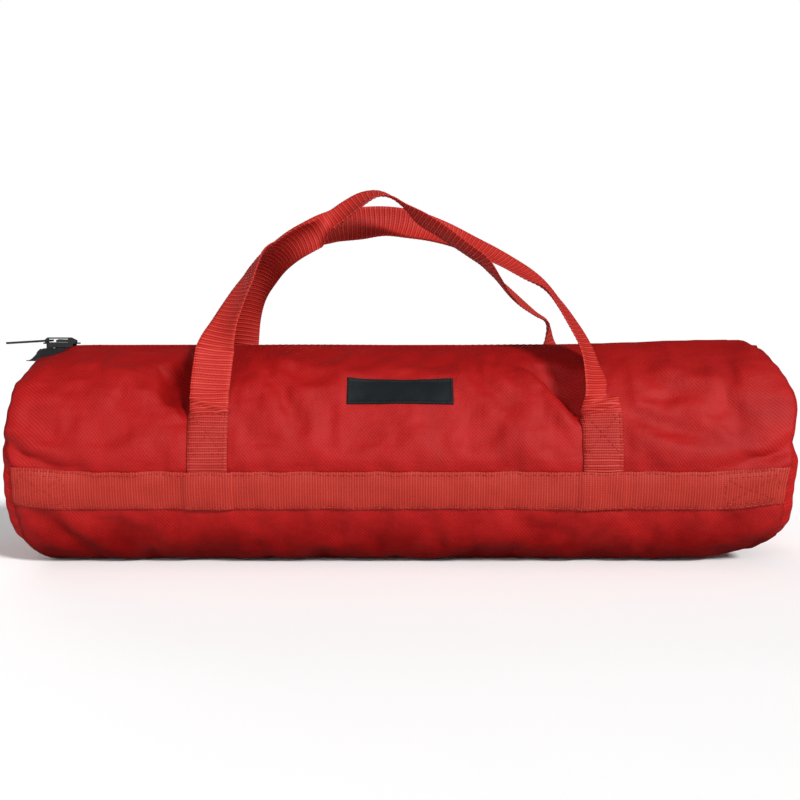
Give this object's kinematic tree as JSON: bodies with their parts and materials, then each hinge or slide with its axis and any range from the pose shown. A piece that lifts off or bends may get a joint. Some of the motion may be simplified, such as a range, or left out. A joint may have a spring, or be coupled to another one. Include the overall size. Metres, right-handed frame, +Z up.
{
  "type": "packed agility tunnel in carry bag",
  "caption": "Red barrel carry bag with zipped top, side bands and webbing handles, holding a folded pop-up dog agility tunnel.",
  "frame": {"origin": "middle of the flat base that the bag stands on", "axes": "+X along the bag away from the end where the closed zipper's slider sits, +Y to the side without the label, +Z up"},
  "size_m": [0.5344, 0.1568, 0.2596],
  "materials": {
    "shell_cloth": "satin",
    "webbing": "matte",
    "binding": "matte",
    "zipper_tape": "matte",
    "zipper_coil": "satin",
    "zipper_metal": "gloss",
    "label": "matte",
    "tunnel_cloth": "satin",
    "hoop_steel": "satin",
    "tie_webbing": "matte"
  },
  "bodies": {
    "bag": {"barrel_panel": "shell_cloth", "end_panel_left": "shell_cloth", "end_panel_right": "shell_cloth", "seam_binding_left": "binding", "seam_binding_right": "binding", "zipper_tape_front": "zipper_tape", "zipper_tape_rear": "zipper_tape", "zipper_coil_front": "zipper_coil", "zipper_coil_rear": "zipper_coil", "zipper_top_stops": "zipper_metal", "zipper_bottom_stop": "zipper_metal", "front_band": "webbing", "rear_band": "webbing", "front_handle_leg_left": "webbing", "front_handle_leg_right": "webbing", "rear_handle_leg_left": "webbing", "rear_handle_leg_right": "webbing", "label_patch": "label", "tunnel_sleeve": "tunnel_cloth", "tunnel_hoops": "hoop_steel", "tie_strap_left": "tie_webbing", "tie_strap_right": "tie_webbing", "ground_pegs": "hoop_steel"},
    "slider": {"slider_body": "zipper_metal", "slider_bail": "zipper_metal"},
    "pull_tab": {"pull_tab": "zipper_metal"},
    "front_handle": {"front_handle": "webbing"},
    "rear_handle": {"rear_handle": "webbing"}
  },
  "joints": [
    {"name": "slider_run", "type": "slide", "parent": "bag", "child": "slider", "axis": [1, 0, 0], "range_m": [0, 0.465]},
    {"name": "pull_tab_swing", "type": "hinge", "parent": "slider", "child": "pull_tab", "pos_m": [-0.2474, 0, 0.1488], "axis": [0, 1, 0], "range_deg": [0, 150]},
    {"name": "front_handle_fold", "type": "hinge", "parent": "bag", "child": "front_handle", "pos_m": [0, -0.06474, 0.11105], "axis": [1, 0, 0], "range_deg": [0, 150]},
    {"name": "rear_handle_fold", "type": "hinge", "parent": "bag", "child": "rear_handle", "pos_m": [0, 0.06474, 0.11105], "axis": [-1, 0, 0], "range_deg": [0, 150]}
  ]
}
